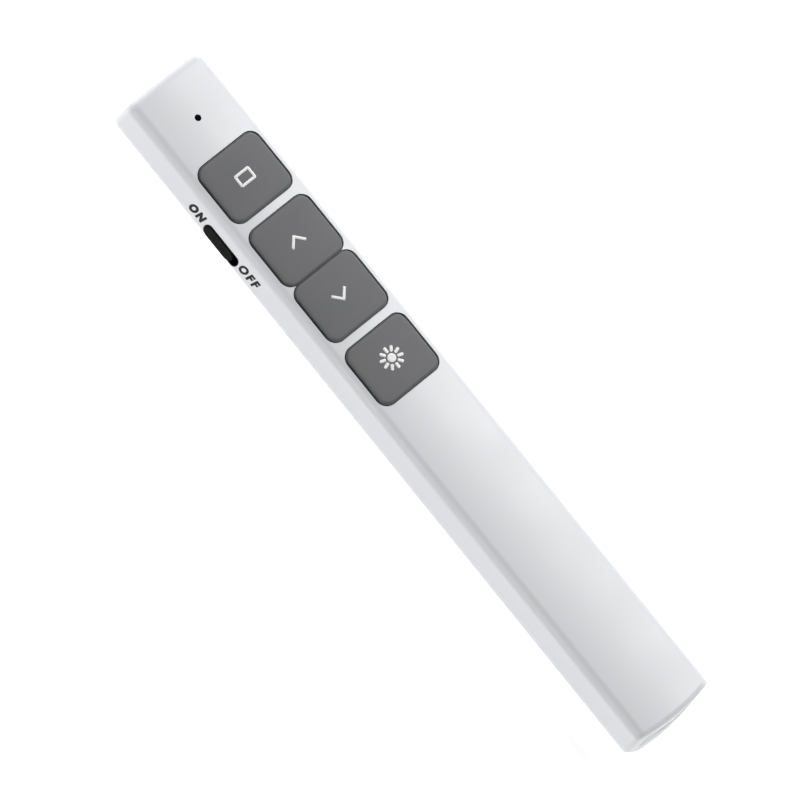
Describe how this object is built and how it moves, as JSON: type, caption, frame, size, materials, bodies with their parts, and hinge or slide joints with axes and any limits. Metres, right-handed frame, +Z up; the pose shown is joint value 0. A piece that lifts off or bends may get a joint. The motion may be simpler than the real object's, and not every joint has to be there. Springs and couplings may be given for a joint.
{
  "type": "wireless presentation clicker",
  "caption": "Slim bar-shaped wireless presentation clicker with square press keys, a side on/off slider, a nose laser and a USB receiver docked in its tail.",
  "frame": {"origin": "centre of the flat back that the clicker lies on, under the middle of the body", "axes": "+Y points to the nose with the laser, +X to the right-hand side seen from above with the nose away from the viewer, +Z up through the keys"},
  "size_m": [0.0205, 0.1502, 0.0143],
  "materials": {
    "shell": "satin",
    "key": "matt",
    "slider": "matt, ridged",
    "black_plastic": "satin",
    "white_plastic": "satin",
    "clear_plastic": "clear",
    "dark_window": "dark red tint",
    "board": "solder mask",
    "steel": "nickel plated",
    "brass": "turned",
    "ceramic": "matt",
    "cell": "printed sleeve"
  },
  "bodies": {
    "housing": {"upper_shell": "shell", "lower_shell": "shell", "shell_screws": "steel", "board_screws": "steel", "main_board": "board", "radio_chip": "black_plastic", "crystal": "steel", "antenna": "ceramic", "slide_switch": "steel", "indicator_led": "ceramic", "light_guide": "clear_plastic", "laser_barrel": "brass", "laser_lens": "clear_plastic", "laser_board": "board", "laser_window": "dark_window", "battery": "cell", "contact_plate": "steel", "contact_spring": "steel", "receiver_dock": "black_plastic", "switch_fullscreen": "black_plastic", "switch_previous": "black_plastic", "switch_next": "black_plastic", "switch_laser": "black_plastic"},
    "key_fullscreen_set": {"key_fullscreen": "key", "plunger_fullscreen": "white_plastic"},
    "key_previous_set": {"key_previous": "key", "plunger_previous": "white_plastic"},
    "key_next_set": {"key_next": "key", "plunger_next": "white_plastic"},
    "key_laser_set": {"key_laser": "key", "plunger_laser": "white_plastic"},
    "slider": {"on_off_slider": "slider", "switch_lever": "black_plastic"},
    "door": {"battery_door": "shell"},
    "receiver": {"receiver_grip": "black_plastic", "receiver_plug": "steel", "receiver_tongue": "white_plastic", "receiver_contact_strips": "brass"}
  },
  "joints": [
    {"name": "fullscreen_key_press", "type": "slide", "parent": "housing", "child": "key_fullscreen_set", "axis": [0, 0, -1], "range_m": [0, 0.00035], "stiffness_N_per_m": 2000},
    {"name": "previous_key_press", "type": "slide", "parent": "housing", "child": "key_previous_set", "axis": [0, 0, -1], "range_m": [0, 0.00035], "stiffness_N_per_m": 2000},
    {"name": "next_key_press", "type": "slide", "parent": "housing", "child": "key_next_set", "axis": [0, 0, -1], "range_m": [0, 0.00035], "stiffness_N_per_m": 2000},
    {"name": "laser_key_press", "type": "slide", "parent": "housing", "child": "key_laser_set", "axis": [0, 0, -1], "range_m": [0, 0.00035], "stiffness_N_per_m": 2000},
    {"name": "on_off_slide", "type": "slide", "parent": "housing", "child": "slider", "axis": [0, -1, 0], "range_m": [0, 0.0013]},
    {"name": "battery_door_tilt", "type": "hinge", "parent": "housing", "child": "door", "pos_m": [0, -0.0039, 0], "axis": [1, 0, 0], "range_deg": [0, 45]},
    {"name": "receiver_slide", "type": "slide", "parent": "housing", "child": "receiver", "axis": [0, -1, 0], "range_m": [0, 0.018]}
  ]
}
